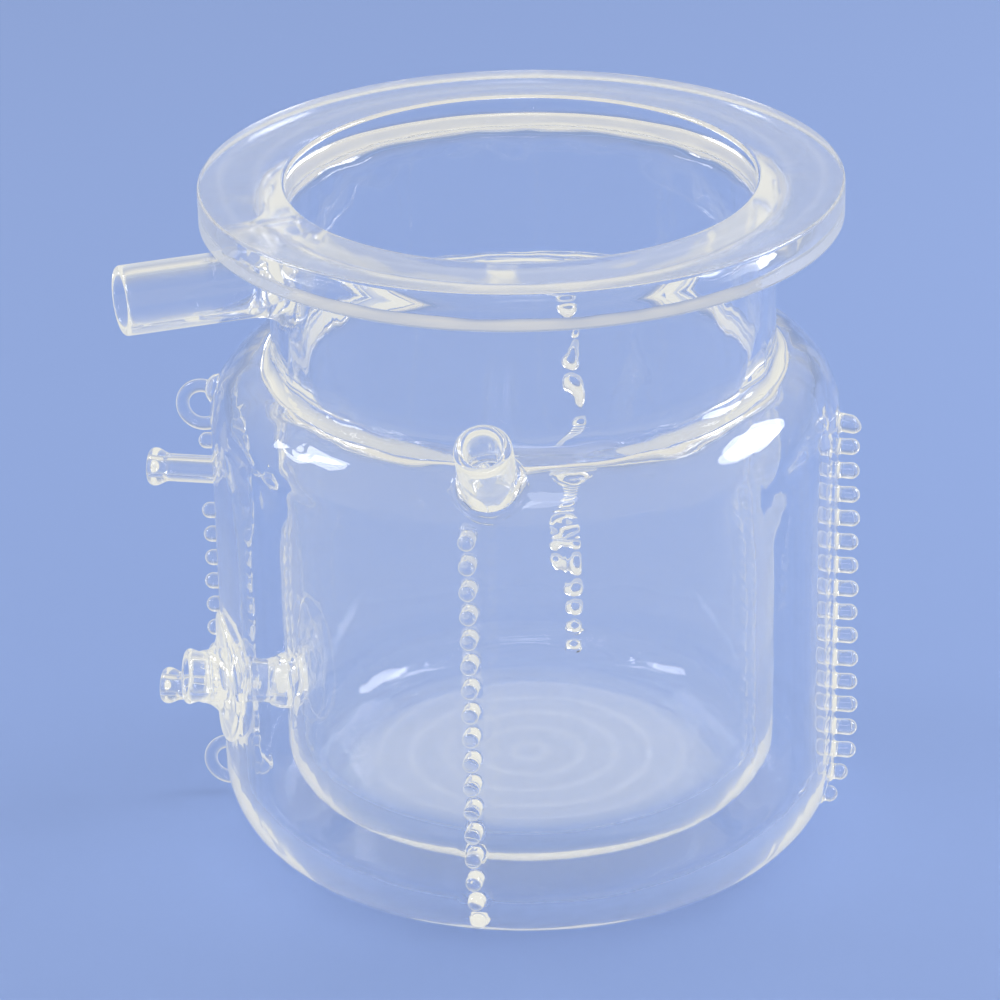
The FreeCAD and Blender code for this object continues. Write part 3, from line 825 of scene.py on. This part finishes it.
class StageOperator(bpy.types.Operator):
    """Sets the floor, the studio's light and the camera at the photograph's view"""

    bl_idname = "reactor.set_stage"
    bl_label = "Set the stage"

    def execute(self, context):
        look, scene = context.scene.reactor.stage, context.scene
        bm = bmesh.new()
        bmesh.ops.create_circle(bm, cap_ends=True, segments=96, radius=FLOOR_RADIUS)
        bmesh.ops.translate(bm, verts=bm.verts[:], vec=(0, 0, -FLOOR_GAP))
        floor = as_object(bm, "studio_floor")
        paper = bpy.data.materials.new("matt_paper")
        paper.use_nodes = True
        tree = paper.node_tree
        tree.nodes.clear()
        # matt backdrop paper, whose edge fades into the colour of the studio
        skin = add(
            tree,
            "ShaderNodeBsdfPrincipled",
            inputs={"Base Color": (*look.floor, 1), "Roughness": 0.6, "Specular IOR Level": 0.3},
        )
        place = add(tree, "ShaderNodeTexCoord").outputs["Object"]
        behind = add(tree, "ShaderNodeSeparateXYZ", inputs={0: place})
        behind = add(
            tree, "ShaderNodeMapRange", inputs={"Value": behind.outputs["Y"], "From Min": -0.3, "From Max": 1.2}
        )
        tone = add(
            tree,
            "ShaderNodeMix",
            {"data_type": "RGBA"},
            {0: behind.outputs["Result"], 6: (*look.horizon, 1), 7: (*look.backdrop, 1)},
        )
        far = add(tree, "ShaderNodeEmission", inputs={"Color": tone.outputs[2], "Strength": 1.0})
        away = add(tree, "ShaderNodeVectorMath", {"operation": "LENGTH"}, {0: place})
        fade = add(
            tree,
            "ShaderNodeMapRange",
            inputs={"Value": away.outputs["Value"], "From Min": 1.1, "From Max": 3.2},
        )
        mix = add(
            tree,
            "ShaderNodeMixShader",
            inputs={0: fade.outputs["Result"], 1: skin.outputs["BSDF"], 2: far.outputs["Emission"]},
        )
        add(tree, "ShaderNodeOutputMaterial", inputs={"Surface": mix.outputs["Shader"]})
        floor.data.materials.append(paper)

        world = bpy.data.worlds.new("studio")
        world.use_nodes = True
        scene.world = world
        tree = world.node_tree
        tree.nodes.clear()
        way = add(tree, "ShaderNodeTexCoord").outputs["Generated"]
        way = add(tree, "ShaderNodeSeparateXYZ", inputs={0: way})
        behind = add(
            tree, "ShaderNodeMapRange", inputs={"Value": way.outputs["Y"], "From Min": -0.2, "From Max": 0.7}
        )
        tone = add(
            tree,
            "ShaderNodeMix",
            {"data_type": "RGBA"},
            {0: behind.outputs["Result"], 6: (*look.horizon, 1), 7: (*look.backdrop, 1)},
        )
        above = add(
            tree, "ShaderNodeMapRange", inputs={"Value": way.outputs["Z"], "From Min": 0.04, "From Max": 0.5}
        )
        tone = add(
            tree,
            "ShaderNodeMix",
            {"data_type": "RGBA"},
            {0: above.outputs["Result"], 6: tone.outputs[2], 7: (*look.sky, 1)},
        )
        back = add(tree, "ShaderNodeBackground", inputs={"Color": tone.outputs[2], "Strength": STUDIO_STRENGTH})
        add(tree, "ShaderNodeOutputWorld", inputs={"Surface": back.outputs["Background"]})

        for name, at, size, watts in (
            ("key_lamp", (1.30, 0.72, 1.20), (0.9, 0.7), look.key),
            ("fill_lamp", (-1.55, 0.08, 1.36), (0.5, 0.8), look.fill),
            ("front_lamp", (0.5, -2.3, 2.4), (1.4, 1.0), look.front),
        ):
            data = bpy.data.lights.new(name, "AREA")
            data.shape, data.size, data.size_y, data.energy = "ELLIPSE", size[0], size[1], watts
            lamp = bpy.data.objects.new(name, data)
            scene.collection.objects.link(lamp)
            aim = Vector((0, 0, 0.12)) - Vector(at)
            lamp.matrix_world = Matrix.Translation(at) @ aim.to_track_quat("-Z", "Y").to_matrix().to_4x4()

        # the camera looks at the object's middle, then turns aside, down and round its own axis
        turn, rise, roll = VIEW_TURN, VIEW_RISE, VIEW_ROLL
        across, down = math.atan(ASIDE / FOCAL), math.atan(BELOW / FOCAL)
        way = Vector((math.sin(turn) * math.cos(rise), -math.cos(turn) * math.cos(rise), math.sin(rise)))
        right = Vector((math.cos(turn), math.sin(turn), 0))
        ahead, up = -way, right.cross(-way)
        ahead, right = (
            ahead * math.cos(across) - right * math.sin(across),
            right * math.cos(across) + ahead * math.sin(across),
        )
        ahead, up = ahead * math.cos(down) + up * math.sin(down), up * math.cos(down) - ahead * math.sin(down)
        right, up = right * math.cos(roll) + up * math.sin(roll), up * math.cos(roll) - right * math.sin(roll)
        camera = bpy.data.cameras.new("camera")
        camera.sensor_width, camera.lens = SENSOR, SENSOR * FOCAL / PICTURE
        camera.clip_start, camera.clip_end = 0.05, 50.0
        eye = bpy.data.objects.new("camera", camera)
        turn_to = Matrix((right, up, -ahead)).transposed().to_4x4()
        eye.matrix_world = Matrix.Translation(Vector((0, 0, VIEW_HEIGHT)) + way * VIEW_REACH) @ turn_to
        scene.collection.objects.link(eye)
        scene.camera = eye
        scene.view_settings.view_transform = "Standard"
        return {"FINISHED"}


class ReactorPanel(bpy.types.Panel):
    """Lists the reactor's sizes and the steps that make it"""

    bl_idname = "VIEW3D_PT_reactor"
    bl_label = "Quartz photoreactor"
    bl_space_type = "VIEW_3D"
    bl_region_type = "UI"
    bl_category = "Reactor"

    def draw(self, context):
        settings = context.scene.reactor
        for step in STEPS:
            self.layout.operator(step.bl_idname)
        for group in settings.bl_rna.properties:
            if group.type == "POINTER" and group.identifier != "rna_type":
                box = self.layout.box()
                box.label(text=group.name)
                held = getattr(settings, group.identifier)
                for item in held.bl_rna.properties:
                    if item.identifier not in ("rna_type", "name"):
                        box.prop(held, item.identifier)


STEPS = (
    BodyOperator,
    SideTubeOperator,
    ShoulderPortOperator,
    SamplingPortOperator,
    NipplesOperator,
    EyeletsOperator,
    PegsOperator,
    AnnealOperator,
    StageOperator,
)
GROUPS = (
    VesselSizes,
    JacketSizes,
    SideTubeSizes,
    ShoulderPortSizes,
    SamplingPortSizes,
    NippleSizes,
    EyeletSizes,
    PegSizes,
    QuartzFinish,
    StageLook,
    ReactorSettings,
)


def register():
    for item in GROUPS + STEPS + (ReactorPanel,):
        bpy.utils.register_class(item)
    bpy.types.Scene.reactor = PointerProperty(type=ReactorSettings, name="Reactor", description="All sizes")


def unregister():
    del bpy.types.Scene.reactor
    for item in reversed(GROUPS + STEPS + (ReactorPanel,)):
        bpy.utils.unregister_class(item)


def main():
    register()
    for step in STEPS:
        group, name = step.bl_idname.split(".")
        getattr(getattr(bpy.ops, group), name)()


if __name__ == "__main__":
    main()
